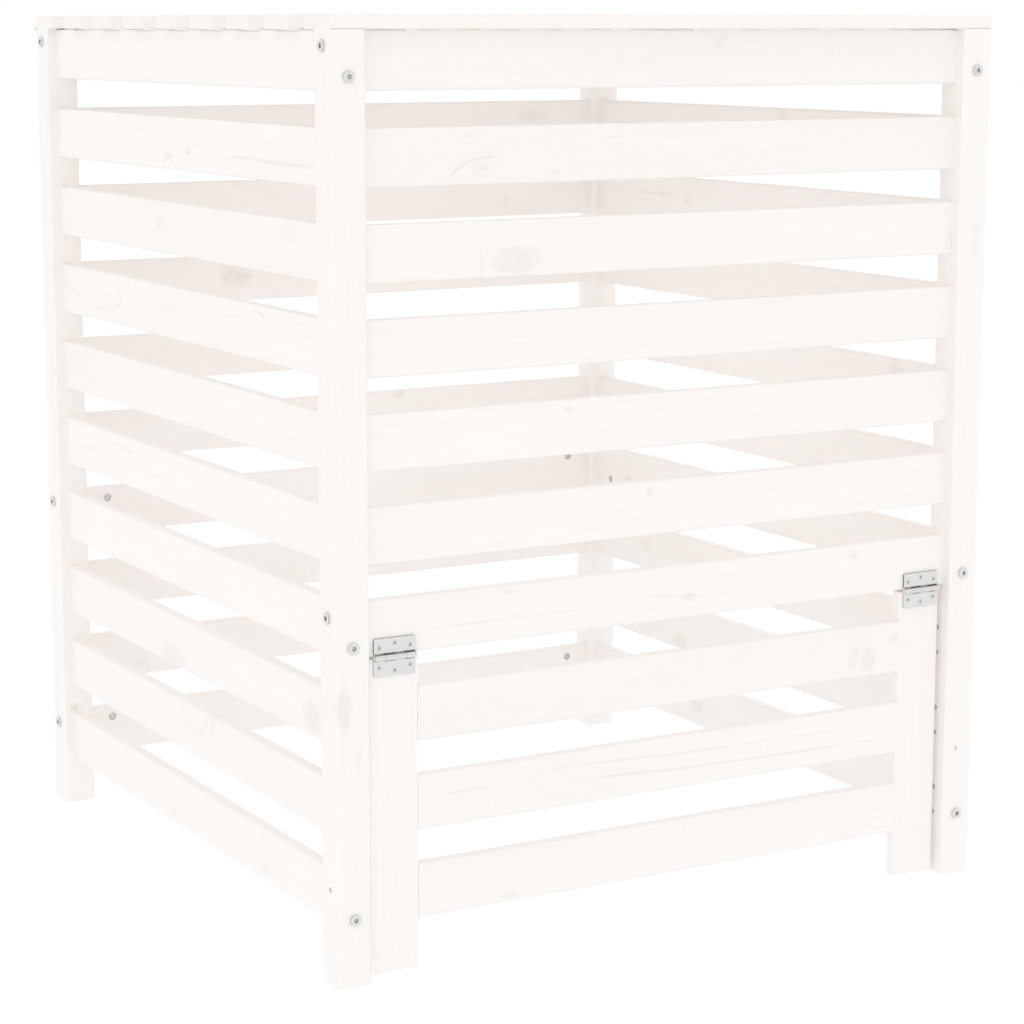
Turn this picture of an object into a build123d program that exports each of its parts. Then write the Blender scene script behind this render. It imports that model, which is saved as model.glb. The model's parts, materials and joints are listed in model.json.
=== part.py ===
from build123d import *
import os

# Slatted wooden compost bin with a hinged lid and a clearing door low at the front.
# Millimetres, +Z up, +Y from the front to the back, origin on the ground midway between the posts.

# Posts and walls
bin_width = 825.0
bin_depth = 825.0
post_height = 980.0
post_side = 38.0
slat_height = 59.0
slat_thickness = 14.0
slats_per_wall = 10
fixed_front_slats = 7
lid_slit = 1.5
ground_gap = 57.75
edge_round = 2.0

# Joint holes, two to each slat end, below and above its middle: both take a dowel, or one takes a bolt
joint_spread = 15.0
dowel_radius = 3.0
dowel_flutes = 12
dowel_slat_depth = 18.0
dowel_post_depth = 12.0
dowel_play = 0.15

# Bolts through the posts and the barrel nuts that they pull on
bolted_slats = (1, 7, 10)
bolt_radius = 3.0
bolt_hole_radius = 3.3
bolt_head_radius = 6.25
bolt_head_height = 2.4
bolt_socket_width = 5.0
bolt_socket_depth = 1.8
bolt_tip = 2.0
nut_radius = 5.0
nut_length = 11.0
nut_setback = 31.5
nut_play = 0.15
thread_play = 0.1

# Clearing door
door_side_gap = 5.8
door_top_gap = 3.0
door_ground_gap = 5.0
stile_width = 56.0

# Lid
lid_board_count = 9
lid_board_width = 59.0
lid_board_thickness = 15.0
batten_width = 59.0
batten_thickness = 15.0
batten_side_gap = 1.0
batten_end_gap = 1.5

# Butt hinges: door pair and smaller lid pair
door_hinge_length = 48.0
door_leaf_width = 20.0
door_leaf_thickness = 2.0
door_barrel_radius = 3.2
door_pin_radius = 1.5
door_knuckles = 4
door_leaf_screws = ((-18.0, 9.6), (0.0, 5.6), (18.0, 9.6))
lid_hinge_length = 36.0
lid_leaf_width = 13.0
lid_leaf_thickness = 1.2
lid_barrel_radius = 2.5
lid_pin_radius = 1.25
lid_knuckles = 3
lid_leaf_screws = ((-12.0, 5.0), (12.0, 5.0))
hinge_stand_off = 0.3
knuckle_gap = 0.3
pin_play = 0.05
pin_overhang = 1.5
knuckle_root_gap = 1.2
leaf_corner_radius = 1.5
screw_hole_radius = 1.6
screw_sink_radius = 2.6
screw_sink_angle = 90.0

# Places worked out from the sizes above
slat_top = post_height - lid_slit
slat_pitch = (slat_top - slat_height - ground_gap) / (slats_per_wall - 1)
bolt_length = post_side + nut_setback + nut_radius + bolt_tip
inner_face = (post_side + slat_thickness) / 2

# Each wall has a plane in the middle of its boards: local x along the wall, y up, z outwards.
front_wall = Plane(origin=(0, -(bin_depth - post_side) / 2, 0), x_dir=(1, 0, 0), z_dir=(0, -1, 0))
back_wall = Plane(origin=(0, (bin_depth - post_side) / 2, 0), x_dir=(-1, 0, 0), z_dir=(0, 1, 0))
left_wall = Plane(origin=(-(bin_width - post_side) / 2, 0, 0), x_dir=(0, -1, 0), z_dir=(-1, 0, 0))
right_wall = Plane(origin=((bin_width - post_side) / 2, 0, 0), x_dir=(0, 1, 0), z_dir=(1, 0, 0))
wall_lengths = {"front": bin_width, "back": bin_width, "left": bin_depth, "right": bin_depth}
wall_planes = {"front": front_wall, "back": back_wall, "left": left_wall, "right": right_wall}
fixed_slats = {wall: fixed_front_slats if wall == "front" else slats_per_wall for wall in wall_planes}

# Joint hole that takes the bolt: side walls low, front and back high, so that the bolts pass each other
bolt_sides = {"front": 1, "back": 1, "left": -1, "right": -1}

os.makedirs("parts", exist_ok=True)


def save(solid, name):
    """Label a finished piece and write it as its own node."""
    solid.label = name
    export_step(solid, f"parts/{name}.step")


def slat_middle(number):
    """Height of the middle of a slat, counted from 1 at the top."""
    return slat_top - slat_height / 2 - (number - 1) * slat_pitch


def joint_height(number, side):
    """Height of a slat's lower (-1) or upper (1) joint holes."""
    return slat_middle(number) + side * joint_spread


def dowel_heights(wall, number):
    """Heights of the joint holes of a wall slat that take a dowel: a bolt takes one of the two."""
    taken = bolt_sides[wall] if number in bolted_slats else 0
    return [joint_height(number, side) for side in (-1, 1) if side != taken]


def local_plane(plane, x, y, z, direction):
    """Plane at a point given in another plane's own coordinates, facing one of its directions."""
    return Plane(origin=plane.from_local_coords((x, y, z)), z_dir=direction)


def slat_ends(plane, length, heights):
    """Planes on both ends of a slat at the given heights, facing out of the slat."""
    return [
        local_plane(plane, side * length / 2, height, 0, side * plane.x_dir)
        for side in (-1, 1)
        for height in heights
    ]


def drill_for_dowels(piece, mouths, depth):
    """Dowel hole at each mouth, a plane that faces out of the piece; it is fluted as the dowels are."""
    with BuildPart() as drilled:
        add(piece)
        with BuildSketch(*mouths):
            RegularPolygon(dowel_radius + dowel_play, dowel_flutes)
        extrude(amount=-depth - dowel_play, mode=Mode.SUBTRACT)
    return drilled.part


def make_slat(plane, middle, length, heights):
    """Slat with eased long edges and dowel holes at the given heights in both ends."""
    with BuildPart() as board:
        with BuildSketch(plane):
            with Locations((0, middle)):
                Rectangle(length, slat_height)
        extrude(amount=slat_thickness / 2, both=True)
        fillet(board.edges().filter_by(Axis(plane.origin, plane.x_dir)), edge_round)
    return drill_for_dowels(board.part, slat_ends(plane, length, heights), dowel_slat_depth)


def drill_for_bolts(slat, wall, number):
    """Bolt hole in each end of a slat, and the barrel nut's blind bore in its inner face."""
    plane = wall_planes[wall]
    span = wall_lengths[wall] - 2 * post_side
    height = joint_height(number, bolt_sides[wall])
    nut_distance = span / 2 - nut_setback
    with BuildPart() as drilled:
        add(slat)
        for side in (-1, 1):
            with Locations(local_plane(plane, side * span / 2, height, 0, side * plane.x_dir)):
                Hole(bolt_hole_radius, depth=nut_setback + nut_radius + 2 * bolt_tip)
            with Locations(local_plane(plane, side * nut_distance, height, -slat_thickness / 2, -plane.z_dir)):
                Hole(nut_radius + nut_play, depth=(slat_thickness + nut_length) / 2 + nut_play)
    return drilled.part


def make_post(side_wall, cross_wall):
    """Post drilled for ten slats of each wall; holes of the front posts stay empty where the door is."""
    corner = wall_planes[side_wall].origin + wall_planes[cross_wall].origin
    mouths = []
    with BuildPart() as post:
        with BuildSketch():
            with Locations((corner.X, corner.Y)):
                Rectangle(post_side, post_side)
        extrude(amount=post_height)
        fillet(post.edges().filter_by(Axis.Z), edge_round)
        for wall in (side_wall, cross_wall):
            plane = wall_planes[wall]
            end = 1 if plane.to_local_coords(corner).X > 0 else -1
            outside = end * wall_lengths[wall] / 2
            inside = outside - end * post_side
            for number in range(1, slats_per_wall + 1):
                for height in dowel_heights(wall, number):
                    mouths.append(local_plane(plane, inside, height, 0, -end * plane.x_dir))
            for number in bolted_slats:
                height = joint_height(number, bolt_sides[wall])
                with Locations(local_plane(plane, outside, height, 0, end * plane.x_dir)):
                    Hole(bolt_hole_radius, depth=post_side)
    return drill_for_dowels(post.part, mouths, dowel_post_depth)


# Posts
for side_wall in ("left", "right"):
    for cross_wall in ("front", "back"):
        save(make_post(side_wall, cross_wall), f"post_{cross_wall}_{side_wall}")

# Wall slats
slat_dowel_seats = []
for wall, plane in wall_planes.items():
    slat_span = wall_lengths[wall] - 2 * post_side
    for number in range(1, fixed_slats[wall] + 1):
        heights = dowel_heights(wall, number)
        wall_slat = make_slat(plane, slat_middle(number), slat_span, heights)
        if number in bolted_slats:
            wall_slat = drill_for_bolts(wall_slat, wall, number)
        save(wall_slat, f"{wall}_slat_{number}")
        slat_dowel_seats += slat_ends(plane, slat_span, heights)

# One fluted dowel along Z, with the end of its slat at height 0
with BuildPart() as dowel:
    with BuildSketch(Plane.XY.offset(-dowel_slat_depth)):
        RegularPolygon(dowel_radius, dowel_flutes)
    extrude(amount=dowel_slat_depth + dowel_post_depth)

with BuildPart() as slat_dowels:
    with Locations(*slat_dowel_seats):
        add(dowel.part)
save(slat_dowels.part, "slat_dowels")

# One bolt, standing on the face that its head presses on, with its shank pointing down
with BuildPart() as bolt:
    with BuildSketch():
        Circle(bolt_head_radius)
    extrude(amount=bolt_head_height)
    with BuildSketch(Plane.XY.offset(bolt_head_height)):
        RegularPolygon(bolt_socket_width / 2, 6, major_radius=False)
    extrude(amount=-bolt_socket_depth, mode=Mode.SUBTRACT)
    with BuildSketch():
        Circle(bolt_radius)
    extrude(amount=-bolt_length)

# One barrel nut, lying along Z about its middle, with its threaded hole along X
with BuildPart() as nut:
    with BuildSketch(Plane.XY.offset(-nut_length / 2)):
        Circle(nut_radius)
    extrude(amount=nut_length)
    with BuildSketch(Plane.YZ.offset(-nut_radius)):
        Circle(bolt_radius + thread_play)
    extrude(amount=2 * nut_radius, mode=Mode.SUBTRACT)

bolt_seats = []
nut_seats = []
for wall, plane in wall_planes.items():
    for number in bolted_slats:
        if number > fixed_slats[wall]:
            continue
        for side in (-1, 1):
            height = joint_height(number, bolt_sides[wall])
            head_seat = side * wall_lengths[wall] / 2
            nut_seat = side * (wall_lengths[wall] / 2 - post_side - nut_setback)
            bolt_seats.append(local_plane(plane, head_seat, height, 0, side * plane.x_dir))
            nut_seats.append(Plane(plane.from_local_coords((nut_seat, height, 0)), plane.x_dir, plane.z_dir))

with BuildPart() as frame_bolts:
    with Locations(*bolt_seats):
        add(bolt.part)
save(frame_bolts.part, "frame_bolts")

with BuildPart() as barrel_nuts:
    with Locations(*nut_seats):
        add(nut.part)
save(barrel_nuts.part, "barrel_nuts")

# Clearing door: it fills the front below the last fixed slat, in the plane of the slats
door_width = bin_width - 2 * (post_side + door_side_gap)
door_top = slat_middle(fixed_front_slats) - slat_height / 2 - door_top_gap
stile_middle = (door_width - stile_width) / 2
door_slat_length = door_width - 2 * stile_width
door_slats = range(fixed_front_slats + 1, slats_per_wall + 1)

door_dowel_seats = []
for index, number in enumerate(door_slats, start=1):
    heights = [joint_height(number, side) for side in (-1, 1)]
    door_slat = make_slat(front_wall, slat_middle(number), door_slat_length, heights)
    save(door_slat, f"door_slat_{index}")
    door_dowel_seats += slat_ends(front_wall, door_slat_length, heights)

with BuildPart() as door_dowels:
    with Locations(*door_dowel_seats):
        add(dowel.part)
save(door_dowels.part, "door_dowels")

for side, name in ((-1, "left"), (1, "right")):
    with BuildPart() as stile:
        with BuildSketch(front_wall):
            with Locations((side * stile_middle, (door_top + door_ground_gap) / 2)):
                Rectangle(stile_width, door_top - door_ground_gap)
        extrude(amount=slat_thickness / 2, both=True)
        fillet(stile.edges().filter_by(Axis.Z), edge_round)
    mouths = [-seat for seat in door_dowel_seats if seat.origin.X * side > 0]
    save(drill_for_dowels(stile.part, mouths, dowel_post_depth), f"door_stile_{name}")

# Lid: boards from side to side, carried by three battens that hang between the walls
lid_pitch = (bin_depth - lid_board_width) / (lid_board_count - 1)
batten_length = bin_depth - 2 * (inner_face + batten_end_gap)
batten_reach = bin_width / 2 - post_side - batten_side_gap - batten_width / 2

with BuildPart() as lid_boards:
    with BuildSketch(Plane.XY.offset(post_height)):
        with GridLocations(0, lid_pitch, 1, lid_board_count):
            Rectangle(bin_width, lid_board_width)
    extrude(amount=lid_board_thickness)
    fillet(lid_boards.edges().filter_by(Axis.X), edge_round)
save(lid_boards.part, "lid_boards")

for offset, name in ((-batten_reach, "left"), (0, "middle"), (batten_reach, "right")):
    with BuildPart() as batten:
        with BuildSketch(Plane.XY.offset(post_height)):
            with Locations((offset, 0)):
                Rectangle(batten_width, batten_length)
        extrude(amount=-batten_thickness)
        fillet(batten.edges().filter_by(Axis.Y).group_by(Axis.Z)[0], edge_round)
    save(batten.part, f"lid_batten_{name}")


def make_leaf(side, knuckles, length, width, thickness, barrel_radius, pin_radius, count, screws):
    """Hinge leaf about its pin along X, lying below the pin on the plane that it is screwed to."""
    seat = -barrel_radius - hinge_stand_off
    plate_start = barrel_radius + knuckle_root_gap
    screw_places = [(x, side * (width - inset), seat + thickness) for x, inset in screws]
    knuckle_length = (length - (count - 1) * knuckle_gap) / count
    with BuildPart() as leaf:
        with BuildSketch(Plane.XY.offset(seat)):
            with Locations((0, side * (plate_start + width) / 2)):
                Rectangle(length, width - plate_start)
        extrude(amount=thickness)
        fillet(leaf.edges().filter_by(Axis.Z).group_by(Axis.Y)[-1 if side > 0 else 0], leaf_corner_radius)
        for index in knuckles:
            start = -length / 2 + index * (knuckle_length + knuckle_gap)
            with BuildSketch(Plane.YZ.offset(start)):
                Circle(barrel_radius)
                with Locations((side * plate_start / 2, seat + (hinge_stand_off + thickness) / 2)):
                    Rectangle(plate_start, thickness - hinge_stand_off)
            extrude(amount=knuckle_length)
        with BuildSketch(Plane.YZ.offset(-length / 2)):
            Circle(pin_radius + pin_play)
        extrude(amount=length, mode=Mode.SUBTRACT)
        with Locations(*screw_places):
            CounterSinkHole(screw_hole_radius, screw_sink_radius, counter_sink_angle=screw_sink_angle)
    return leaf.part


def make_pin(length, radius):
    """Hinge pin along X that stands out a little at each end of the barrel."""
    with BuildPart() as pin:
        with BuildSketch(Plane.YZ.offset(-length / 2 - pin_overhang)):
            Circle(radius)
        extrude(amount=length + 2 * pin_overhang)
    return pin.part


def save_hinges(name, seats, fixed_side, sizes):
    """Write the hinges of the door or the lid as three nodes: leaves on the frame, its own leaves, and pins."""
    count = sizes["count"]
    pieces = {
        f"{name}_hinge_frame_leaves": make_leaf(fixed_side, range(1, count, 2), **sizes),
        f"{name}_hinge_{name}_leaves": make_leaf(-fixed_side, range(0, count, 2), **sizes),
        f"{name}_hinge_pins": make_pin(sizes["length"], sizes["pin_radius"]),
    }
    for node, piece in pieces.items():
        with BuildPart() as pair:
            with Locations(*seats):
                add(piece)
        save(pair.part, node)


# Door hinges, on the front faces of the last fixed slat and of the stiles
door_hinge_sizes = {
    "length": door_hinge_length,
    "width": door_leaf_width,
    "thickness": door_leaf_thickness,
    "barrel_radius": door_barrel_radius,
    "pin_radius": door_pin_radius,
    "count": door_knuckles,
    "screws": door_leaf_screws,
}
door_axis_height = door_top + door_top_gap / 2
door_axis_out = slat_thickness / 2 + door_barrel_radius + hinge_stand_off
door_hinge_seats = [
    Plane(front_wall.from_local_coords((x, door_axis_height, door_axis_out)), front_wall.x_dir, front_wall.z_dir)
    for x in (-stile_middle, stile_middle)
]
save_hinges("door", door_hinge_seats, 1, door_hinge_sizes)

# Lid hinges, on the back faces of the back posts and the back edge of the last lid board
lid_hinge_sizes = {
    "length": lid_hinge_length,
    "width": lid_leaf_width,
    "thickness": lid_leaf_thickness,
    "barrel_radius": lid_barrel_radius,
    "pin_radius": lid_pin_radius,
    "count": lid_knuckles,
    "screws": lid_leaf_screws,
}
lid_axis_out = post_side / 2 + lid_barrel_radius + hinge_stand_off
lid_hinge_seats = [
    Plane(back_wall.from_local_coords((x, post_height, lid_axis_out)), back_wall.x_dir, back_wall.z_dir)
    for x in (-(bin_width - post_side) / 2, (bin_width - post_side) / 2)
]
save_hinges("lid", lid_hinge_seats, -1, lid_hinge_sizes)
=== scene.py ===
import json
import math
import random

import bmesh
import bpy
from mathutils import Matrix, Vector


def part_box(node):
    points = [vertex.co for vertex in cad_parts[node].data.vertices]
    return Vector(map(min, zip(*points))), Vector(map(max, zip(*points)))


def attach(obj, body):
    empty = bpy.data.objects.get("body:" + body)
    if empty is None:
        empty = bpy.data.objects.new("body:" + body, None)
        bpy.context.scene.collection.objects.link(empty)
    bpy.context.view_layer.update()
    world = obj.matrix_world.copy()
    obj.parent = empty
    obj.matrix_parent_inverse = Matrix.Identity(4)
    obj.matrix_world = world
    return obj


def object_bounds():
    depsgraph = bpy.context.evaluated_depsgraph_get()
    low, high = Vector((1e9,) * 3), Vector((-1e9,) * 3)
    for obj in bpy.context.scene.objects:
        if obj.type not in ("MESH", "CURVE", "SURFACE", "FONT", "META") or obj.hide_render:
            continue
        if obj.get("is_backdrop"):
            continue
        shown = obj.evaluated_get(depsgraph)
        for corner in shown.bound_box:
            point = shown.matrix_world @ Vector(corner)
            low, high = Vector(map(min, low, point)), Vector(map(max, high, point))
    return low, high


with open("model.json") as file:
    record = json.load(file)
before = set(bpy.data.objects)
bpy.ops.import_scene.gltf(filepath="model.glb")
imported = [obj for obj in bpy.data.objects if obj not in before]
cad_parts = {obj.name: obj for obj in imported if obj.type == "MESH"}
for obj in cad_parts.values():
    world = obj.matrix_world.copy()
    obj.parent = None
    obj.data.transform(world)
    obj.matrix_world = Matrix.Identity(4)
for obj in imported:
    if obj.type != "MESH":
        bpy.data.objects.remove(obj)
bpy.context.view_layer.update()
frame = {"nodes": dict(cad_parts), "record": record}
nodes = frame["nodes"]
MM = 0.001

# White-stained pine, linear colours
STAIN = (0.890, 0.865, 0.849, 1.0)
STAIN_WARM = (0.870, 0.834, 0.809, 1.0)
LATE_WOOD = (0.62, 0.555, 0.50, 1.0)
KNOT_HEART = (0.48, 0.43, 0.39, 1.0)
END_GRAIN = (0.85, 0.815, 0.785, 1.0)
WORN_EDGE = (0.86, 0.80, 0.74, 1.0)
# Painted light: a pale tint for door edges and ends, lifting the shade in the gaps beside them
PAINTED_LIGHT_EDGE = (0.965, 0.955, 0.948, 1.0)
# Beech dowels, zinc plating and floor paper, linear colours
BEECH = (0.62, 0.47, 0.32, 1.0)
BEECH_FLECK = (0.5, 0.36, 0.23, 1.0)
ZINC = (0.74, 0.74, 0.735, 1.0)
ZINC_PIN = (0.86, 0.86, 0.855, 1.0)
# Dark zinc film, also used as painted shade on hinge leaves, bolt sockets and screw recesses
DARK_FILM_AND_SHADE = (0.13, 0.127, 0.123, 1.0)
PAPER = (0.09, 0.09, 0.09, 1.0)
PAPER_SPECK = (0.11, 0.11, 0.11, 1.0)
WHITE = (1.0, 1.0, 1.0, 1.0)

# How far the pith of the log lies behind a board and to its side, least and most
PITH_BEHIND = (6 * MM, 30 * MM)
PITH_ASIDE = (8 * MM, 50 * MM)
RING_SPACING = 3.6 * MM
# Darkness across one growth ring, from its early wood to the sharp end of its late wood
RING_PROFILE = ((0.0, 0.1), (0.45, 0.08), (0.8, 0.6), (0.92, 1.0), (1.0, 0.05))
# How far the wood of one lid board lies from that of the next, so that no two are alike
ROW_APART = (3.71, 0.93, 1.0)
# Width of a single grain line on a face that looks along X or Y, and how far it wavers
MARK_WIDTHS = (3.6 * MM, 2.5 * MM)
MARK_CORE = 0.1 * MM
MARK_WAVER = 5 * MM
# Where the wear of a long edge starts and is full, from the faces that meet there
WEAR_START = 3.2 * MM
WEAR_FULL = 0.3 * MM
# Half sizes in millimetres between which a larger knot pushes the rings further aside
KNOT_PUSH_SIZES = (4, 16)

# Knots that the photo shows, in millimetres on a face that looks along X (0) or Y (1):
# place across and up, half sizes across and up, tone
KNOTS = {
    "front_slat_1": (1, [(52, 966, 11, 8, 0.14)]),
    "front_slat_2": (1, [(-238, 838, 13, 9, 0.07)]),
    "front_slat_3": (1, [(-195, 744, 29, 16, 0.24), (372, 741, 7, 12, 0.12)]),
    "front_slat_5": (1, [(-132, 585, 4, 4, 0.26)]),
    "front_slat_6": (1, [(-30, 489, 5, 4, 0.24)]),
    "front_slat_7": (1, [(23, 367, 8, 5, 0.22), (245, 393, 7, 5, 0.20), (-206, 397, 6, 3, 0.16)]),
    "door_slat_1": (1, [
        (248, 274, 8, 14, 0.18), (269, 269, 10, 14, 0.24), (306, 289, 7, 6, 0.20), (321, 293, 4, 4, 0.24),
    ]),
    "door_slat_3": (1, [(-202, 65, 10, 4, 0.18), (242, 63, 7, 4, 0.10)]),
    "left_slat_2": (0, [(28, 839, 11, 5, 0.16), (-29, 846, 9, 4, 0.24)]),
    "left_slat_3": (0, [(56, 762, 12, 6, 0.20), (-285, 774, 24, 9, 0.08)]),
    "left_slat_4": (0, [(14, 666, 100, 6, 0.08)]),
    "left_slat_8": (0, [(44, 257, 34, 17, 0.20), (-330, 271, 21, 17, 0.23)]),
    "left_slat_10": (0, [(50, 70, 9, 5, 0.14), (-210, 72, 14, 6, 0.14)]),
    "post_front_right": (1, [(399, 754, 6, 7, 0.16), (399, 735, 6, 7, 0.16), (391, 151, 2, 3, 0.95)]),
    "post_front_left": (1, [(-404, 296, 8, 24, 0.25)]),
    "post_back_left": (1, [(-399, 124, 5, 5, 0.42)]),
    "back_slat_2": (1, [(283, 863, 22, 9, 0.20)]),
    "back_slat_3": (1, [(242, 750, 5, 6, 0.16)]),
    "back_slat_4": (1, [(-159, 665, 22, 14, 0.32)]),
    "back_slat_6": (1, [(75, 494, 9, 5, 0.28)]),
    "right_slat_3": (0, [(158, 757, 8, 4, 0.20), (221, 762, 5, 5, 0.14)]),
    "right_slat_7": (0, [(297, 366, 10, 5, 0.24)]),
    "right_slat_9": (0, [(165, 164, 17, 10, 0.26)]),
}
# Single grain lines that the photo shows, on faces as above: tone, and the places that the line passes
MARKS = {
    "front_slat_2": (1, [
        (0.36, [(-277, 832), (-261, 843), (-249, 849), (-235, 851), (-223, 852)]),
        (0.32, [(-240, 839), (-229, 842)]),
        (0.28, [(-95, 868), (-76, 868), (-65, 871)]),
        (0.24, [(-156, 834), (-145, 834)]),
        (0.16, [(-135, 838), (-115, 836)]),
        (0.16, [(-258, 874), (-242, 872)]),
    ]),
    "front_slat_3": (1, [
        (0.32, [(-238, 759), (-236, 748), (-237, 738), (-237, 728)]),
        (0.22, [(-231, 760), (-230, 744)]),
    ]),
    "front_slat_7": (1, [
        (0.22, [(-316, 367), (-251, 368), (-191, 368), (-92, 368)]),
        (0.24, [(-26, 374), (23, 368), (96, 366)]),
    ]),
    "door_slat_2": (1, [
        (0.24, [(-167, 198), (-92, 197), (-16, 194), (63, 192), (171, 191), (240, 190)]),
        (0.34, [(-105, 181), (-29, 177), (36, 175), (116, 174), (212, 173), (300, 172)]),
        (0.30, [(-284, 188), (-251, 189), (-225, 188)]),
    ]),
    "door_slat_3": (1, [
        (0.34, [(263, 77), (272, 71), (286, 66), (303, 67)]),
        (0.18, [(272, 90), (302, 90)]),
    ]),
    "left_slat_2": (0, [
        (0.34, [(44, 828), (32, 842), (9, 830)]),
        (0.36, [(-129, 838), (-142, 844), (-166, 845), (-218, 844), (-268, 844), (-348, 842)]),
    ]),
    "left_slat_4": (0, [
        (0.28, [(366, 666), (327, 658), (293, 653), (266, 648), (232, 647)]),
        (0.28, [(232, 647), (203, 651), (180, 660), (180, 669), (196, 678)]),
        (0.30, [(-184, 677), (-197, 684), (-213, 684), (-226, 679)]),
        (0.20, [(-110, 671), (-174, 675)]),
        (0.16, [(-226, 678), (-348, 683)]),
    ]),
    "left_slat_6": (0, [
        (0.20, [(355, 483), (282, 485), (183, 486), (151, 484)]),
        (0.18, [(348, 473), (317, 469), (249, 472)]),
        (0.22, [(226, 471), (167, 469), (105, 466), (44, 464)]),
    ]),
    "left_slat_9": (0, [
        (0.28, [(17, 208), (12, 194), (3, 184), (-18, 180), (-38, 184), (-49, 194), (-52, 208)]),
        (0.26, [(-68, 216), (-71, 203), (-66, 187)]),
    ]),
    "left_slat_10": (0, [
        (0.24, [(83, 117), (77, 108)]),
        (0.26, [(56, 102), (50, 92)]),
        (0.26, [(-200, 112), (-205, 101)]),
    ]),
    "right_slat_3": (0, [(0.17, [(368, 767), (270, 763), (165, 765)])]),
    "post_back_left": (0, [
        (0.26, [(376, 558), (388, 551), (391, 539)]),
        (0.28, [(389, 528), (383, 502), (378, 456)]),
    ]),
    "post_front_left": (1, [(0.18, [(-392, 213), (-389, 238), (-383, 257), (-378, 267)])]),
}
# Boards that are a little darker than the rest
SHADES = {"front_slat_1": 0.018, "front_slat_2": 0.014}

# Outputs of the coordinate node
OBJECT_PLACE = 3
NORMAL = 1


class Graph:
    """A material under construction, with short ways to add nodes."""

    def __init__(self, name):
        self.material = bpy.data.materials.new(name)
        self.material.use_nodes = True
        self.tree = self.material.node_tree
        self.shader = self.tree.nodes["Principled BSDF"]

    def feed(self, socket, value):
        """Link a node's output to a socket, or set the socket to a plain value."""
        if isinstance(value, bpy.types.NodeSocket):
            self.tree.links.new(value, socket)
        else:
            socket.default_value = value

    def finish(self, **values):
        """Feed sockets of the shader, named with _ for a space."""
        for name, value in values.items():
            self.feed(self.shader.inputs[name.replace("_", " ")], value)

    def node(self, kind, *values, out=0, **settings):
        made = self.tree.nodes.new("ShaderNode" + kind)
        for key, value in settings.items():
            setattr(made, key, value)
        for socket, value in zip(made.inputs, values):
            self.feed(socket, value)
        return made.outputs[out]

    def parts(self, vector):
        return self.node("SeparateXYZ", vector).node.outputs

    def math(self, operation, *values):
        return self.node("Math", *values, operation=operation)

    def vector(self, operation, *values):
        out = 1 if operation in ("LENGTH", "DOT_PRODUCT") else 0
        return self.node("VectorMath", *values, operation=operation, out=out)

    def total(self, *values):
        result = values[0]
        for value in values[1:]:
            result = self.math("ADD", result, value)
        return result

    def weighted(self, *pairs):
        return self.total(*(self.math("MULTIPLY", value, weight) for value, weight in pairs))

    def greatest(self, values):
        result = values[0]
        for value in values[1:]:
            result = self.math("MAXIMUM", result, value)
        return result

    def remap(self, value, low, high, to_low=0.0, to_high=1.0):
        return self.node("MapRange", value, low, high, to_low, to_high, interpolation_type="SMOOTHSTEP")

    def mix(self, share, first, second):
        """Blend two colours; the mix node keeps its colour sockets after those for numbers and vectors."""
        made = self.tree.nodes.new("ShaderNodeMix")
        made.data_type = "RGBA"
        for index, value in ((0, share), (6, first), (7, second)):
            self.feed(made.inputs[index], value)
        return made.outputs[2]

    def noise(self, vector, scale, detail=2.0, rough=0.5):
        made = self.tree.nodes.new("ShaderNodeTexNoise")
        self.feed(made.inputs["Vector"], vector)
        made.inputs["Scale"].default_value = scale
        made.inputs["Detail"].default_value = detail
        made.inputs["Roughness"].default_value = rough
        return made.outputs[0]

    def bump(self, height, distance, strength):
        made = self.tree.nodes.new("ShaderNodeBump")
        made.inputs["Strength"].default_value = strength
        made.inputs["Distance"].default_value = distance
        self.feed(made.inputs["Height"], height)
        self.finish(Normal=made.outputs[0])


def scaled(tint, factor):
    """A colour made darker by a factor."""
    return tuple(part * factor for part in tint[:3]) + (1.0,)


def rounded(places):
    """A line of places with its corners cut."""
    cut = [places[0]]
    for (x0, y0), (x1, y1) in zip(places, places[1:]):
        cut.append((0.75 * x0 + 0.25 * x1, 0.75 * y0 + 0.25 * y1))
        cut.append((0.25 * x0 + 0.75 * x1, 0.25 * y0 + 0.75 * y1))
    return cut + [places[-1]]


def on_face(look, across, up):
    """A place or size on a face in metres, with nothing along the axis that the face looks along."""
    values = [across * MM, up * MM]
    values.insert(look, 0.0)
    return Vector(values)


def thin_and_wide(along, sizes):
    """Axes of a board's thickness and width, from the axis of its length and its sizes along X, Y and Z."""
    thin = min((axis for axis in range(3) if axis != along), key=lambda axis: sizes[axis])
    return thin, 3 - along - thin


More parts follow.
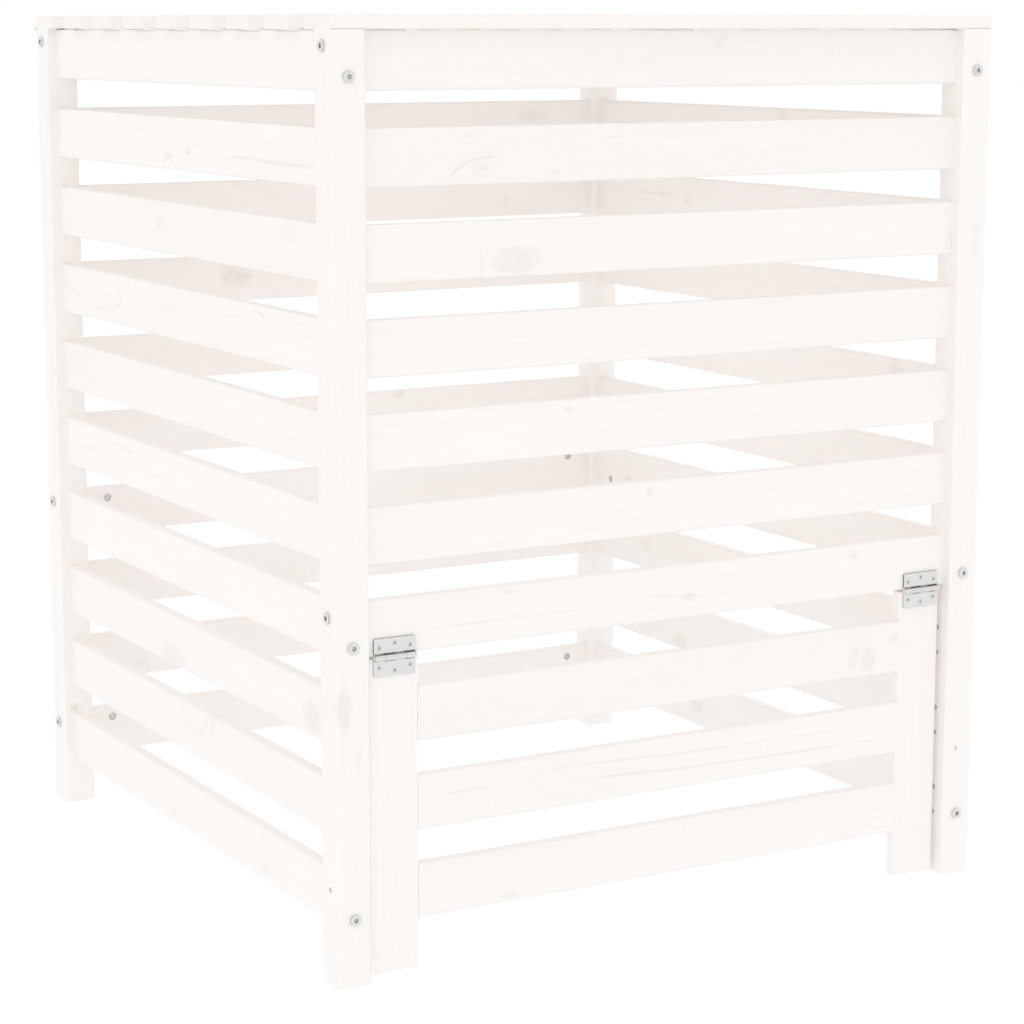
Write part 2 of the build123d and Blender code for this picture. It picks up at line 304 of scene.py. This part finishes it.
class Board:
    """White-stained pine cut from a log: growth rings about a pith beside the board, bent round its knots.

    rows is the first middle and the spacing along Y where one node holds several boards.
    """

    def __init__(self, name, along, middle, half, seed, rows=None):
        self.graph = Graph("wood_" + name)
        self.draw = random.Random(seed)
        self.along = along
        self.middle = middle
        self.half = half
        self.thin, self.wide = thin_and_wide(along, half)
        self.length_axis = Vector([1.0 if axis == along else 0.0 for axis in range(3)])
        self.cross_axis = Vector((1, 1, 1)) - self.length_axis
        self.spot = self.graph.node("TexCoord", out=OBJECT_PLACE)
        self.pith = self.find_pith()
        self.find_places(rows)
        self.find_textures()
        self.rings = self.find_rings(rows)

    def find_pith(self):
        """Pith of the log, behind one face of the board and off to one side."""
        draw = self.draw
        pith = Vector(self.middle)
        pith[self.thin] += draw.choice((-1, 1)) * (self.half[self.thin] + draw.uniform(*PITH_BEHIND))
        pith[self.wide] += draw.choice((-1, 1)) * draw.uniform(*PITH_ASIDE)
        return pith

    def find_places(self, rows):
        """Places on the board, and the same places in a stretch of wood of its own."""
        graph = self.graph
        onward = self.length_axis * self.draw.uniform(5, 50)
        offset = tuple(onward + self.cross_axis * self.draw.uniform(1, 9))
        self.place = self.spot
        moved = self.spot
        if rows:
            first, pitch = rows
            from_first = graph.math("SUBTRACT", graph.parts(self.spot)[1], first)
            self.row = graph.math("ROUND", graph.math("DIVIDE", from_first, pitch))
            steps = graph.node("CombineXYZ", 0.0, graph.math("MULTIPLY", self.row, pitch), 0.0)
            self.place = graph.vector("SUBTRACT", self.spot, steps)
            apart = [graph.math("MULTIPLY", self.row, distance) for distance in ROW_APART]
            moved = graph.vector("ADD", self.place, graph.node("CombineXYZ", *apart))
        self.shifted = graph.vector("ADD", moved, offset)

    def drawn_out(self, share):
        """The board's stretch of wood, drawn out along the grain."""
        return self.graph.vector("MULTIPLY", self.shifted, tuple(self.cross_axis + self.length_axis * share))

    def find_textures(self):
        """Noise along the grain, from the slow bend of the log to single fibres."""
        figure = self.drawn_out(0.11)
        self.slow = self.graph.noise(figure, 16.0)
        self.ripple = self.graph.noise(figure, 85.0)
        self.fibre = self.graph.noise(self.drawn_out(0.018), 900.0, 3.0, 0.6)
        self.cloud = self.graph.noise(self.drawn_out(0.25), 22.0, 3.0)

    def find_rings(self, rows):
        """Distance from the pith, which leans along the board and wavers."""
        graph = self.graph
        from_pith = graph.vector("SUBTRACT", self.place, tuple(self.pith))
        slope = tuple(self.length_axis * self.draw.uniform(-0.022, 0.022))
        rings = graph.total(
            graph.vector("LENGTH", graph.vector("MULTIPLY", from_pith, tuple(self.cross_axis))),
            graph.vector("DOT_PRODUCT", self.place, slope),
            graph.weighted((self.slow, 30 * MM), (self.ripple, 2.2 * MM)),
        )
        if rows:
            swing = graph.math("SINE", graph.math("MULTIPLY", self.row, 2.4))
            rings = graph.math("ADD", rings, graph.math("MULTIPLY", swing, 20 * MM))
        return rings

    def knot_hearts(self, look, knots):
        """Bend the rings round each knot; the result is the darkness of each knot's own wood."""
        graph = self.graph
        wander = graph.total(graph.weighted((self.ripple, 0.55), (self.slow, 0.35)), -0.45)
        hearts = []
        for across, up, half_across, half_up, tone in knots:
            inverse = on_face(look, 1 / half_across, 1 / half_up) / MM**2
            away = graph.vector("SUBTRACT", self.spot, tuple(on_face(look, across, up)))
            round_knot = graph.vector("LENGTH", graph.vector("MULTIPLY", away, tuple(inverse)))
            distance = graph.math("ADD", round_knot, wander)
            least, most = KNOT_PUSH_SIZES
            push = min(max(half_across, half_up, least), most) * 0.7 * MM
            self.rings = graph.math("ADD", self.rings, graph.remap(distance, 0.1, 3.4, push, 0.0))
            uneven = graph.math("ADD", distance, wander)
            disc = graph.remap(uneven, 0.2, 1.45, 0.7 * tone, 0.0)
            rim = graph.math(
                "MULTIPLY",
                graph.remap(uneven, 0.5, 0.95, 0.0, 0.4 * tone),
                graph.remap(uneven, 0.95, 1.25, 1.0, 0.0),
            )
            broken_rim = graph.math("MULTIPLY", rim, graph.remap(self.ripple, 0.42, 0.58))
            hearts.append(graph.math("ADD", disc, broken_rim))
        return hearts

    def mark_lines(self, look, marks):
        """Darkness of each run of the single grain lines, which waver across the grain."""
        graph = self.graph
        waver = graph.math("MULTIPLY", graph.math("SUBTRACT", self.ripple, 0.5), MARK_WAVER)
        wavering = graph.node("CombineXYZ", *(waver if axis == self.wide else 0.0 for axis in range(3)))
        flat = tuple(0.0 if axis == look else 1.0 for axis in range(3))
        drawn_on = graph.vector("MULTIPLY", graph.vector("ADD", self.spot, wavering), flat)
        lines = []
        for tone, corners in marks:
            places = rounded(corners)
            for first, last in zip(places, places[1:]):
                faded = tone * (0.3 if first is places[0] or last is places[-1] else 0.75)
                start = on_face(look, *first)
                way = on_face(look, *last) - start
                ahead = graph.vector("SUBTRACT", drawn_on, tuple(start))
                share = graph.vector("DOT_PRODUCT", ahead, tuple(way / way.length_squared))
                share = graph.node("Clamp", share, 0.0, 1.0)
                reached = graph.vector("MULTIPLY", graph.node("CombineXYZ", share, share, share), tuple(way))
                near = graph.vector("LENGTH", graph.vector("SUBTRACT", ahead, reached))
                lines.append(graph.remap(near, MARK_CORE, MARK_WIDTHS[look], faded, 0.0))
        return lines

    def ring_lines(self):
        """Darkness of the growth rings, stronger in some clouds than in others."""
        graph = self.graph
        spacing = RING_SPACING * self.draw.uniform(0.8, 1.35)
        profile = graph.node("ValToRGB", graph.math("FRACT", graph.math("DIVIDE", self.rings, spacing)))
        stops = profile.node.color_ramp.elements
        first, *between, last = RING_PROFILE
        stops[0].color = (first[1], first[1], first[1], 1)
        stops[1].color = (last[1], last[1], last[1], 1)
        for position, value in between:
            stops.new(position).color = (value, value, value, 1)
        strength = self.draw.uniform(0.035, 0.065)
        clouded = graph.remap(self.cloud, 0.38, 0.72, 0.15 * strength, 1.5 * strength)
        return graph.math("MULTIPLY", profile, clouded)

    def stained(self, rings, marks, hearts, shade):
        """Colour of the stain, with the rings, single lines and knots that show through it."""
        graph = self.graph
        warmth = graph.remap(self.slow, 0.25, 0.75, 0.0, self.draw.uniform(0.3, 0.75))
        colour = graph.mix(warmth, scaled(STAIN, 1 - shade), scaled(STAIN_WARM, 1 - shade))
        colour = graph.mix(graph.remap(self.fibre, 0.35, 0.8, 0.0, 0.08), colour, LATE_WOOD)
        colour = graph.mix(rings, colour, LATE_WOOD)
        if marks:
            breaks = graph.remap(self.ripple, 0.3, 0.6, 0.35, 1.0)
            colour = graph.mix(graph.math("MULTIPLY", graph.greatest(marks), breaks), colour, LATE_WOOD)
        if hearts:
            flecks = graph.remap(graph.noise(self.shifted, 150.0, 3.0, 0.6), 0.36, 0.64, 0.68, 1.2)
            colour = graph.mix(graph.math("MULTIPLY", graph.greatest(hearts), flecks), colour, KNOT_HEART)
        return colour

    def long_edges(self):
        """How near a place is to one of the board's long edges."""
        graph = self.graph
        away = graph.vector("ABSOLUTE", graph.vector("SUBTRACT", self.place, tuple(self.middle)))
        parts = graph.parts(away)
        near = [
            graph.remap(parts[axis], self.half[axis] - WEAR_START, self.half[axis] - WEAR_FULL)
            for axis in (self.thin, self.wide)
        ]
        return graph.math("MULTIPLY", *near)

    def wear_and_painted_light(self, colour, edges, edge_look, end_tint):
        """Tinted long edges and end faces over a colour, for wear and end grain, and for painted light on the
        door; edge_look is a tint and its least and most share.
        """
        graph = self.graph
        edge_tint, least, most = edge_look
        wear_and_light_share = graph.math("MULTIPLY", edges, graph.remap(self.cloud, 0.35, 0.7, least, most))
        colour = graph.mix(wear_and_light_share, colour, edge_tint)
        facing = graph.vector("ABSOLUTE", graph.node("TexCoord", out=NORMAL))
        ends = graph.remap(graph.parts(facing)[self.along], 0.7, 0.9, 0.0, 0.6)
        return graph.mix(ends, colour, end_tint)


def wood(name, along, middle, half, knots, marks, seed, rows=None):
    """Material of one wooden node. The left door stile's edges and the door slats' ends are pale with painted
    light, which lifts the shade in the gaps beside them.
    """
    board = Board(name, along, middle, half, seed, rows)
    graph = board.graph
    hearts = board.knot_hearts(*knots)
    lines = board.mark_lines(*marks)
    rings = board.ring_lines()
    colour = board.stained(rings, lines, hearts, SHADES.get(name, 0.0))
    edges = board.long_edges()
    # Painted light on the left door stile's long edges and the door slats' ends lifts the shade in the gaps
    # there
    edge_look = (PAINTED_LIGHT_EDGE, 0.6, 0.9) if name == "door_stile_left" else (WORN_EDGE, 0.05, 0.55)
    end_tint = PAINTED_LIGHT_EDGE if name.startswith("door_slat") else END_GRAIN
    fibre_rough = graph.remap(board.fibre, 0.2, 0.8, 0.52, 0.66)
    graph.finish(
        Base_Color=board.wear_and_painted_light(colour, edges, edge_look, end_tint),
        Roughness=graph.math("ADD", fibre_rough, graph.weighted((rings, 0.35), (edges, -0.06))),
        Specular_IOR_Level=0.32,
    )
    graph.bump(graph.weighted((board.fibre, 0.5), (rings, -1.6), (board.cloud, 0.6)), 0.12 * MM, 0.55)
    return graph.material


def steel(name, seed, tint, dark_mask, rough):
    """Zinc-plated steel: faint spangle, rolling streaks, and a dark film in random stains and where dark_mask
    puts it, which is painted shade on hinge leaves, bolt sockets and screw recesses.
    """
    draw = random.Random(seed)
    graph = Graph(name)
    place = graph.node("TexCoord", out=OBJECT_PLACE)
    shifted = graph.vector("ADD", place, tuple(draw.uniform(1, 9) for _ in range(3)))
    spangle = graph.noise(shifted, 420.0, 2.0, 0.45)
    streak = graph.noise(graph.vector("MULTIPLY", shifted, (0.06, 1.0, 1.0)), 2600.0, 2.0, 0.6)
    stain = graph.noise(shifted, 130.0, 3.0, 0.6)
    bright = graph.mix(graph.remap(spangle, 0.35, 0.7), tint, scaled(tint, 0.97))
    bright = graph.mix(graph.remap(streak, 0.45, 0.85, 0.0, 0.1), bright, scaled(tint, 0.75))
    # Painted shade and dull film from the mask, with random dark stains
    film_and_shade = graph.math("ADD", dark_mask(graph, place), graph.remap(stain, 0.58, 0.85, 0.0, 0.12))
    film_and_shade = graph.math("MINIMUM", film_and_shade, 1.0)
    sheen = graph.remap(spangle, 0.3, 0.7, rough - 0.04, rough + 0.05)
    graph.finish(
        Base_Color=graph.mix(film_and_shade, bright, DARK_FILM_AND_SHADE),
        Roughness=graph.math("ADD", sheen, graph.math("MULTIPLY", film_and_shade, 0.25)),
        Metallic=1.0,
    )
    graph.bump(graph.math("ADD", streak, graph.math("MULTIPLY", spangle, 0.4)), 0.03 * MM, 0.35)
    return graph.material


def set_material(thing, material):
    thing.data.materials.clear()
    thing.data.materials.append(material)


# Grain direction of the wooden nodes, by the start of their names: 0 for X, 1 for Y, 2 for Z
GRAIN = {
    "front": 0, "back": 0, "door_slat": 0, "lid_boards": 0,
    "left": 1, "right": 1, "lid_batten": 1,
    "post": 2, "door_stile": 2,
}
# Starts of the names of boards whose knots are only those that the photo shows
SEEN = ("front", "left", "door", "post")
LID_BOARD_WIDTH = 59 * MM
LID_BOARD_COUNT = 9
# Seeds of the first board's grain and of its chance knots
GRAIN_SEED = 40
KNOT_SEED = 700

lid_low, lid_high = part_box("lid_boards")
lid_pitch = (lid_high.y - lid_low.y - LID_BOARD_WIDTH) / (LID_BOARD_COUNT - 1)
first_lid_middle = lid_low.y + LID_BOARD_WIDTH / 2


def chance_knots(draw, low, high, along):
    """Up to two knots for a board that the photo does not show, with the axis that their face looks along."""
    found = []
    thin, wide = thin_and_wide(along, high - low)
    for _ in range(draw.choice((0, 1, 1, 2))):
        centre = [(a + b) / 2 for a, b in zip(low, high)]
        centre[along] = draw.uniform(low[along] * 0.9, high[along] * 0.9)
        centre[wide] += draw.uniform(-0.35, 0.35) * (high[wide] - low[wide])
        radius = draw.uniform(4 * MM, 12 * MM)
        sizes = [0.0, 0.0, 0.0]
        sizes[along] = radius * draw.uniform(1.3, 1.9)
        sizes[wide] = radius
        values = [value / MM for row in (centre, sizes) for axis, value in enumerate(row) if axis != thin]
        found.append((*values, draw.uniform(0.15, 0.27)))
    return thin, found


for index, name in enumerate(sorted(name for name in nodes if "dowels" not in name)):
    along = next((axis for start, axis in GRAIN.items() if name.startswith(start)), None)
    if along is None:
        continue
    low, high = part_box(name)
    middle = (low + high) / 2
    half = (high - low) / 2
    rows = None
    if name == "lid_boards":
        half.y = LID_BOARD_WIDTH / 2
        middle.y = first_lid_middle
        rows = (first_lid_middle, lid_pitch)
    knots = KNOTS.get(name, (0, []))
    if not name.startswith(SEEN) and name not in KNOTS:
        knots = chance_knots(random.Random(KNOT_SEED + index), low, high, along)
    marks = MARKS.get(name, (0, []))
    set_material(nodes[name], wood(name, along, middle, half, knots, marks, GRAIN_SEED + index, rows))

# Bare beech dowels: short flecks along fine pores
beech = Graph("bare_beech")
beech_place = beech.node("TexCoord", out=OBJECT_PLACE)
flecks = beech.noise(beech_place, 700.0, 3.0, 0.6)
pores = beech.noise(beech_place, 2600.0)
beech.finish(
    Base_Color=beech.mix(beech.remap(flecks, 0.35, 0.7), BEECH, BEECH_FLECK),
    Roughness=beech.remap(pores, 0.3, 0.7, 0.6, 0.75),
)
beech.bump(pores, 0.1 * MM, 0.4)
for name in ("slat_dowels", "door_dowels"):
    set_material(nodes[name], beech.material)

# Sizes of the hinges, by what swings on them
HINGE_HALF_LENGTHS = {"door": 24 * MM, "lid": 18 * MM}
BARREL_RADII = {"door": 3.2 * MM, "lid": 2.5 * MM}
LEAF_WIDTHS = {"door": 20 * MM, "lid": 13 * MM}


def patches(graph, place):
    """Only a few dull patches."""
    return graph.remap(graph.noise(place, 60.0), 0.5, 0.9, 0.0, 0.15)


def dull(graph, place):
    """Cut ends of the barrel nuts, dull all over."""
    return graph.remap(graph.noise(place, 300.0), 0.3, 0.7, 0.12, 0.32)


def recess(graph, place):
    """Painted shade in the screw recesses, darker still."""
    return graph.remap(graph.noise(place, 300.0), 0.3, 0.7, 0.2, 0.4)


def leaf_painted_shade(axis_height, barrel, leaf):
    """Painted shade on the hinge leaves: dark rims and side faces of the upper leaf, and a dark line along
    its barrel root, stand in for shadow lines; the lower leaf gets only a little of it.
    """

    def mask(graph, place):
        normal = graph.parts(graph.vector("ABSOLUTE", graph.node("TexCoord", out=NORMAL)))
        rise = graph.math("SUBTRACT", graph.parts(place)[2], axis_height)
        height = graph.math("ABSOLUTE", rise)
        upper = graph.remap(rise, -1 * MM, 1 * MM, 0.12, 1.0)
        past_barrel = graph.remap(height, barrel, barrel + 1 * MM)
        sides = graph.math("MULTIPLY", graph.remap(normal[0], 0.6, 0.9, 0.0, 0.8), past_barrel)
        at_rim = graph.remap(height, leaf - 1.5 * MM, leaf - 0.5 * MM)
        rim = graph.math("MULTIPLY", graph.remap(normal[2], 0.7, 0.95, 0.0, 0.8), at_rim)
        # Painted shade along the root of the barrel
        barrel_root_shade = graph.remap(height, barrel + 0.9 * MM, barrel + 1.7 * MM, 0.9, 0.0)
        root = graph.math("MULTIPLY", graph.remap(height, barrel - 0.5 * MM, barrel), barrel_root_shade)
        return graph.math("MULTIPLY", upper, graph.greatest((sides, rim, root)))

    return mask


def head_film_and_socket_shade(heights, reach, face):
    """Bolt heads with a bright outer face, a slightly dull rim, and a socket darkened with painted shade.

    reach is how far the bolts lie from the middle of the bin, and face how far their outer faces do.
    """

    def mask(graph, place):
        parts = graph.parts(graph.vector("ABSOLUTE", place))
        near_z = 1.0
        for height in heights:
            away = graph.math("ABSOLUTE", graph.math("SUBTRACT", parts[2], height))
            near_z = graph.math("MINIMUM", near_z, away)
        aside = graph.math("SUBTRACT", graph.math("MINIMUM", parts[0], parts[1]), reach)
        radius = graph.vector("LENGTH", graph.node("CombineXYZ", near_z, aside, 0.0))
        outward = graph.math("MAXIMUM", parts[0], parts[1])
        below_face = graph.remap(outward, face - 0.5 * MM, face - 0.1 * MM, 1.0, 0.0)
        # Painted shade, darkest in the socket, with a slight dull film on the rim below the outer face
        return graph.math("MULTIPLY", below_face, graph.remap(radius, 2.6 * MM, 3.6 * MM, 0.34, 0.1))

    return mask


def middles(values, apart):
    """Middle of each group of sorted values, where groups lie more than a distance apart."""
    groups = []
    for value in values:
        if not groups or value > groups[-1][-1] + apart:
            groups.append([])
        groups[-1].append(value)
    return [(group[0] + group[-1]) / 2 for group in groups]


bolt_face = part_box("frame_bolts")[1].x
post_low, post_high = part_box("post_front_right")
bolt_reach = (post_low.x + post_high.x) / 2
on_faces = [
    point.co.z
    for point in nodes["frame_bolts"].data.vertices
    if max(abs(point.co.x), abs(point.co.y)) > bolt_face - 0.1 * MM
]
bolt_heights = middles(sorted(on_faces), 5 * MM)
joints = {joint["name"]: joint for joint in frame["record"]["behaviour"]["joints"]}
hinge_axes = {hinge: Vector(joints[f"{hinge}_swing"]["pos_m"]) for hinge in ("door", "lid")}
for hinge, seed in (("door", 3), ("lid", 4)):
    # Painted shade on the rims, side faces and barrel root of the hinge leaves
    film_and_shade = leaf_painted_shade(hinge_axes[hinge].z, BARREL_RADII[hinge], LEAF_WIDTHS[hinge])
    leaves = steel(f"zinc_{hinge}_leaf", seed, ZINC, film_and_shade, 0.34)
    set_material(nodes[f"{hinge}_hinge_frame_leaves"], leaves)
    set_material(nodes[f"{hinge}_hinge_{hinge}_leaves"], leaves)
pins = steel("zinc_pin", 5, ZINC_PIN, patches, 0.42)
set_material(nodes["door_hinge_pins"], pins)
set_material(nodes["lid_hinge_pins"], pins)
# Painted shade in the bolt sockets
heads = head_film_and_socket_shade(bolt_heights, bolt_reach, bolt_face)
set_material(nodes["frame_bolts"], steel("zinc_bolt", 7, ZINC, heads, 0.3))
set_material(nodes["barrel_nuts"], steel("dull_nut", 9, ZINC, dull, 0.42))
screw_faces = steel("zinc_screw", 11, scaled(ZINC, 0.9), patches, 0.34)
# Painted shade for the faces inside the cross recess
screw_recess_shade = steel("screw_recess_shade", 13, ZINC, recess, 0.5)


def screw_shape(shape, seat, head, dome, sink, shank, length):
    """Adds one wood screw with a cross recess: rim of the head at the seat, shank down the seat's -Z."""
    sides = 20
    made = []

    def point(x, y, z):
        made.append(shape.verts.new((x, y, z)))
        return made[-1]

    def ring(radius, height):
        angles = [math.tau * k / sides for k in range(sides)]
        return [point(radius * math.cos(angle), radius * math.sin(angle), height) for angle in angles]

    def skin(first, second, slot=0):
        for k in range(len(first)):
            face = shape.faces.new((first[k - 1], first[k], second[k], second[k - 1]))
            face.material_index = slot

    def cross(reach, arm, height):
        corners = []
        for x, y in ((1, 0), (0, 1), (-1, 0), (0, -1)):
            corners.append(point(reach * x + arm * y, reach * y - arm * x, height))
            corners.append(point(reach * x - arm * y, reach * y + arm * x, height))
            corners.append(point(arm * (x - y), arm * (y + x), height))
        return corners

    # Head, with the recess sunk into its crown
    rim = ring(head, 0.0)
    crown = ring(head * 0.82, dome * 0.8)
    skin(rim, crown)
    mouth = cross(head * 0.58, head * 0.13, dome)
    runs = [(loop[k - 1], loop[k]) for loop in (crown, mouth) for k in range(len(loop))]
    loops = [shape.edges.get(run) or shape.edges.new(run) for run in runs]
    bmesh.ops.triangle_fill(shape, edges=loops, use_beauty=True, normal=(0, 0, 1))
    floor_of_recess = cross(head * 0.4, head * 0.09, dome - head * 0.5)
    # The recess walls and floor take the second material, with its painted shade
    skin(mouth, floor_of_recess, 1)
    shape.faces.new(floor_of_recess).material_index = 1

    # Underside of the head, shank and tip
    lower = rim
    for radius, height in ((shank * 1.15, -sink), (shank, -sink * 1.6), (shank * 0.94, shank * 3 - length)):
        following = ring(radius, height)
        skin(lower, following)
        lower = following
    tip = point(0, 0, -length)
    for k in range(sides):
        shape.faces.new((lower[k - 1], lower[k], tip))
    bmesh.ops.transform(shape, matrix=seat, verts=made)


def screws(name, body, seats, **sizes):
    """One piece of like screws; a seat is the middle of the head's rim, the way it faces, and its turn."""
    shape = bmesh.new()
    for middle, outward, turn in seats:
        upright = Vector(outward).to_track_quat("Z", "Y").to_matrix().to_4x4()
        screw_shape(shape, Matrix.Translation(middle) @ upright @ Matrix.Rotation(turn, 4, "Z"), **sizes)
    bmesh.ops.recalc_face_normals(shape, faces=shape.faces)
    mesh = bpy.data.meshes.new(name)
    shape.to_mesh(mesh)
    shape.free()
    mesh.materials.append(screw_faces)
    mesh.materials.append(screw_recess_shade)
    mesh.polygons.foreach_set("use_smooth", [True] * len(mesh.polygons))
    mesh.set_sharp_from_angle(angle=math.radians(32))
    piece = bpy.data.objects.new(name, mesh)
    bpy.context.scene.collection.objects.link(piece)
    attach(piece, body)


# Hinge screws: a leaf's holes lie the same way above and below its axis, from the middle of the hinge
HINGE_SCREW = dict(head=2.5 * MM, dome=0.35 * MM, sink=1.0 * MM, shank=1.4 * MM)
DOOR_HOLES = ((-18 * MM, 10.4 * MM), (0, 14.4 * MM), (18 * MM, 10.4 * MM))
LID_HOLES = ((-12 * MM, 8 * MM), (12 * MM, 8 * MM))
turns = random.Random(21)
for hinge, holes, depth, outward, length in (
    ("door", DOOR_HOLES, 1.5 * MM, -1, 14 * MM),
    ("lid", LID_HOLES, -1.6 * MM, 1, 12 * MM),
):
    axis = hinge_axes[hinge]
    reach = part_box(f"{hinge}_hinge_frame_leaves")[1].x - HINGE_HALF_LENGTHS[hinge]
    for body in ("frame", hinge):
        # The door hangs below its hinge and the lid stands above its own
        way = outward if body == hinge else -outward
        seats = [
            ((side * reach + x, axis.y + depth, axis.z + way * rise), (0, outward, 0), turns.uniform(0, 3))
            for side in (-1, 1)
            for x, rise in holes
        ]
        screws(f"{hinge}_hinge_screws_{body}", body, seats, length=length, **HINGE_SCREW)

# Lid screws, driven up through the battens, two to a board
LID_SCREW = dict(head=3.8 * MM, dome=0.9 * MM, sink=0.6 * MM, shank=1.9 * MM, length=26 * MM)
LID_SCREW_AWAY = (15 * MM, 9 * MM)
BATTEN_END = 16 * MM
seats = []
for batten in sorted(name for name in nodes if name.startswith("lid_batten")):
    low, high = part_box(batten)
    for k in range(LID_BOARD_COUNT):
        y = min(max(first_lid_middle + k * lid_pitch, low.y + BATTEN_END), high.y - BATTEN_END)
        for way in (-1, 1):
            aside, onward = (way * distance for distance in LID_SCREW_AWAY)
            place = ((low.x + high.x) / 2 + aside, y + onward, low.z)
            seats.append((place, (0, 0, -1), turns.uniform(0, 3)))
screws("lid_screws", "lid", seats, **LID_SCREW)

# Floor of pale paper that glows a little, as an overexposed studio floor does
FLOOR_SIZE = 30
FLOOR_DROP = 0.6 * MM
bpy.ops.mesh.primitive_plane_add(size=FLOOR_SIZE, location=(0, 0, -FLOOR_DROP))
floor = bpy.context.object
floor.name = "floor"
floor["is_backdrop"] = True
paper = Graph("floor_paper")
speck = paper.remap(paper.noise(paper.node("TexCoord", out=OBJECT_PLACE), 3.0, 3.0), 0.3, 0.7)
paper.finish(
    Base_Color=paper.mix(speck, PAPER, PAPER_SPECK),
    Roughness=0.9,
    Specular_IOR_Level=0.1,
    Emission_Color=WHITE,
    Emission_Strength=0.94,
)
set_material(floor, paper.material)

# Light: a white studio dome and one large soft light from the left
world = bpy.data.worlds.new("studio")
bpy.context.scene.world = world
world.use_nodes = True
sky = world.node_tree.nodes["Background"]
sky.inputs["Color"].default_value = WHITE
sky.inputs["Strength"].default_value = 1.0


def add_lamp(name, kind, power, location=(0, 0, 0), toward=(0, 0, -1), **settings):
    """A lamp at a place that shines in a direction."""
    light = bpy.data.lights.new(name, kind)
    light.energy = power
    for key, value in settings.items():
        setattr(light, key, value)
    lamp = bpy.data.objects.new(name, light)
    bpy.context.scene.collection.objects.link(lamp)
    lamp.location = location
    lamp.rotation_euler = Vector(toward).to_track_quat("-Z", "Y").to_euler()
    return lamp


# Light bounced about inside the bin, which the photo's exposure lifts
add_lamp("glow", "POINT", 0.55, (0.0, 0.0, 0.6), shadow_soft_size=0.2).visible_camera = False

# Light that finds its way into the slit below the lid, at the front and on the left
SLIT_LAMP_HEIGHT = 1.2 * MM
front_low, front_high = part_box("front_slat_1")
left_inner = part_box("left_slat_1")[1].x
slit_middle = (front_high.z + lid_low.z) / 2
slit_length = front_high.x - front_low.x - 4 * MM
for name, power, place, inward in (
    ("slit_mouth", 0.0045, (0.0, front_low.y + 0.7 * MM, slit_middle), (0, 1, 0)),
    ("slit_end", 0.003, (0.0, front_high.y - 2 * MM, slit_middle), (0, 1, 0)),
    ("slit_left", 0.0095, (left_inner + 1.5 * MM, 0.0, slit_middle), (1, 0, 0)),
):
    strip = dict(shape="RECTANGLE", size=slit_length, size_y=SLIT_LAMP_HEIGHT)
    add_lamp(name, "AREA", power, place, inward, **strip).visible_camera = False

KEY_PLACE = Vector((-3.6, -3.2, 4.2))
KEY_TARGET = Vector((0, 0, 0.45))
add_lamp("key", "AREA", 4, KEY_PLACE, KEY_TARGET - KEY_PLACE, shape="SQUARE", size=3.2)

# Even light that reaches between the slats without shadows of its own
for name, toward in (("fill_front", (1, 1, -0.6)), ("fill_back", (-1, -1, -0.6))):
    add_lamp(name, "SUN", 0.36, toward=toward, angle=math.radians(60), use_shadow=False)

# Camera at the photo's place: it looks a little down, and towards +X from the front
CAMERA_PLACE = (-1.5894, -2.8111, 0.9827)
CAMERA_DOWN = 9.345
CAMERA_TURN = 29.423
camera = bpy.data.objects.new("camera", bpy.data.cameras.new("camera"))
bpy.context.scene.collection.objects.link(camera)
camera.location = CAMERA_PLACE
camera.rotation_euler = (math.radians(90 - CAMERA_DOWN), 0, math.radians(-CAMERA_TURN))
camera.data.sensor_width = 36
camera.data.lens = 95.013
camera.data.shift_x = 0.0238
camera.data.shift_y = -0.04
bpy.context.scene.camera = camera
bpy.context.scene.view_settings.view_transform = "Standard"

low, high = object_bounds()
